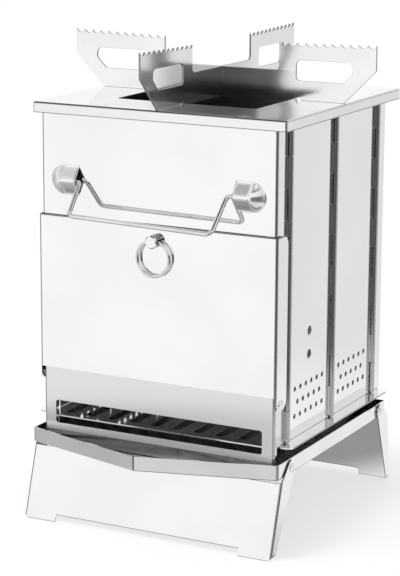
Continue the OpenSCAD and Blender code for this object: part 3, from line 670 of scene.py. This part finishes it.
# stage: a pale floor and white all round; what only mirrors see has levels of grey, most of all a dark room
# behind the camera and a dark band high up; a pair is where such a part begins and where it is in full
stage = {
    "dayLevel": 0.62,  # light of the room on what isn't a mirror
    "darkLevel": 0.09,  # dark room
    "darkFrom": (-0.52, -0.34),  # radians from the camera's side, positive to its right
    "darkTo": (0.92, 1.12),
    "darkReach": (0.40, 0.55),  # metres from the stove, on the floor
    "darkHeight": (0.12, 0.24),  # upward part of the direction, over which it ends in the room
    "leftLevel": 0.38,  # grey on the left, on the floor and low in the room
    "leftZone": (0.80, 0.97),  # share of the direction that goes left
    "leftHeight": (0.30, 0.45),  # upward part of the direction, over which it ends
    "rightNear": 0.97,  # floor on the right, close to the stove
    "rightLevel": 0.80,  # and farther out, as in the room
    "rightZone": (0.2, 0.9),  # share of the direction that goes right
    "rightReach": (0.3, 0.6),  # metres
    "underLevel": 0.34,  # floor under the stove, a painted shadow as mirrors see it
    "underReach": (0.09, 0.15),
    "trayLevels": (0.46, 0.68),  # floor close to the stove, left and right, painted darker as shade where its lower walls mirror it
    "trayTurn": (-1.2, -0.5),  # radians
    "trayReach": (0.38, 0.43),
    "farLevel": 0.97,
    "ceilingLevel": 0.05,  # dark band high up
    "ceilingZone": (0.765, 0.865),  # upward part of the direction, over which it begins
    "ceilingEnd": (0.91, 0.96),
    "ceilingFrom": (-2.0, -1.8),  # radians
    "ceilingTo": (0.75, 0.95),
    "floorGlow": 0.70,  # how far the floor shows plain white, which leaves the rest to the shadow
    "glowReach": (0.15, 0.23),  # metres, over which it turns to plain white
    "frontGlow": 0.90,  # the same ahead of the stove and to its right
    "frontReach": (0.09, 0.12),
    "sideReach": (0.10, 0.15),
    "mirrorGlow": 0.90,  # the same as mirrors see it
    "floorShade": 0.90,
    "floorHalf": 6.0,  # metres
    "lampPlace": (-1.3, -1.1, 2.2),
    "lampSize": 1.3,
    "lampPower": 55.0,
}


# how far out, the angle from the camera's side, and the shares of right and left
def cameraSide(bench, x, y):
    reach = (x * x + y * y) ** 0.5
    yaw = math.radians(stoveView["yaw"])
    facing = x * math.sin(yaw) - y * math.cos(yaw)
    right = x * math.cos(yaw) + y * math.sin(yaw)
    angle = bench.put("ShaderNodeMath", {"operation": "ARCTAN2"}, {0: right, 1: facing})
    return reach, angle, right / reach, (0.0 - x) / reach


def makeRoom():
    room = bpy.data.worlds.new("studioRoom")
    bpy.context.scene.world = room
    room.use_nodes = True
    bench = Bench(room.node_tree)
    x, y, z = bench.axes(bench.put("ShaderNodeTexCoord", None, None, "Generated"))
    _, angle, right, left = cameraSide(bench, x, y)
    mirrored = bench.blendValue(bench.rise(right, *stage["rightZone"]), 1.0, stage["rightLevel"])
    low = 1 - bench.rise(z, *stage["leftHeight"])
    mirrored = bench.blendValue(bench.rise(left, *stage["leftZone"]) * low, mirrored, stage["leftLevel"])
    dark = bench.band(angle, stage["darkFrom"], stage["darkTo"]) * (1 - bench.rise(z, *stage["darkHeight"]))
    mirrored = bench.blendValue(dark, mirrored, stage["darkLevel"])
    overhead = bench.band(angle, stage["ceilingFrom"], stage["ceilingTo"])
    overhead = overhead * bench.band(z, stage["ceilingZone"], stage["ceilingEnd"])
    mirrored = bench.blendValue(overhead, mirrored, stage["ceilingLevel"])
    path = bench.put("ShaderNodeLightPath", None, None, "Is Camera Ray")
    level = bench.blendValue(path.out("Is Glossy Ray"), stage["dayLevel"], mirrored)
    level = bench.blendValue(path.out("Is Transmission Ray"), level, 1.0)
    level = bench.blendValue(path, level, 1.0)
    glow = bench.put("ShaderNodeBackground", None, {"Color": grey(1.0), "Strength": level})
    bench.put("ShaderNodeOutputWorld", None, {"Surface": glow})


def makeFloor():
    paper = bpy.data.materials.new("paleFloor")
    paper.use_nodes = True
    bench = Bench(paper.node_tree)
    x, y, _ = bench.axes(bench.put("ShaderNodeTexCoord", None, None, "Object"))
    reach, angle, right, left = cameraSide(bench, x, y)
    near = bench.blendValue(bench.rise(angle, *stage["trayTurn"]), *stage["trayLevels"])
    front = bench.blendValue(bench.rise(reach, *stage["trayReach"]), near, stage["farLevel"])
    away = bench.rise(reach, *stage["rightReach"])
    beside = bench.blendValue(away, stage["rightNear"], stage["rightLevel"])
    mirrored = bench.blendValue(bench.rise(right, *stage["rightZone"]), front, beside)
    mirrored = bench.blendValue(bench.rise(left, *stage["leftZone"]), mirrored, stage["leftLevel"])
    dark = bench.band(angle, stage["darkFrom"], stage["darkTo"]) * bench.rise(reach, *stage["darkReach"])
    mirrored = bench.blendValue(dark, mirrored, stage["darkLevel"])
    mirrored = bench.blendValue(bench.rise(reach, *stage["underReach"]), stage["underLevel"], mirrored)
    path = bench.put("ShaderNodeLightPath", None, None, "Is Camera Ray")
    glossy = path.out("Is Glossy Ray")
    level = bench.blendValue(glossy, 1.0, mirrored)
    matt = bench.put("ShaderNodeBsdfDiffuse", None, {"Color": grey(stage["floorShade"])})
    glow = bench.put("ShaderNodeEmission", None, {"Color": grey(1.0), "Strength": level})
    behind = (1 - bench.rise(0.0 - y, *stage["frontReach"])) * (1 - bench.rise(x, *stage["sideReach"]))
    shown = bench.blendValue(behind, stage["frontGlow"], stage["floorGlow"])
    shown = bench.blendValue(bench.rise(reach, *stage["glowReach"]), shown, 1.0)
    share = path * shown + glossy * stage["mirrorGlow"] + path.out("Is Transmission Ray") * shown
    both = bench.put("ShaderNodeMixShader", None, {0: share, 1: matt, 2: glow})
    bench.put("ShaderNodeOutputMaterial", None, {"Surface": both})
    half = stage["floorHalf"]
    corners = np.array([[[-half, -half, 0.0], [half, -half, 0.0]], [[-half, half, 0.0], [half, half, 0.0]]])
    mesh = gridMesh("floor", corners, False, False)
    mesh.materials.append(paper)
    floor = bpy.data.objects.new("floor", mesh)
    bpy.context.scene.collection.objects.link(floor)


def hangLamp():
    data = bpy.data.lights.new("softLamp", "AREA")
    data.size = stage["lampSize"]
    data.energy = stage["lampPower"]
    place = np.array(stage["lampPlace"])
    back = place / np.linalg.norm(place)
    side = np.cross((0.0, 0.0, 1.0), back)
    side /= np.linalg.norm(side)
    lamp = placeObject("softLamp", data, side, np.cross(back, side), back, place)
    lamp.visible_glossy = False


makeRoom()
makeFloor()
hangLamp()
bpy.context.scene.view_settings.view_transform = "Standard"
print("stage set")
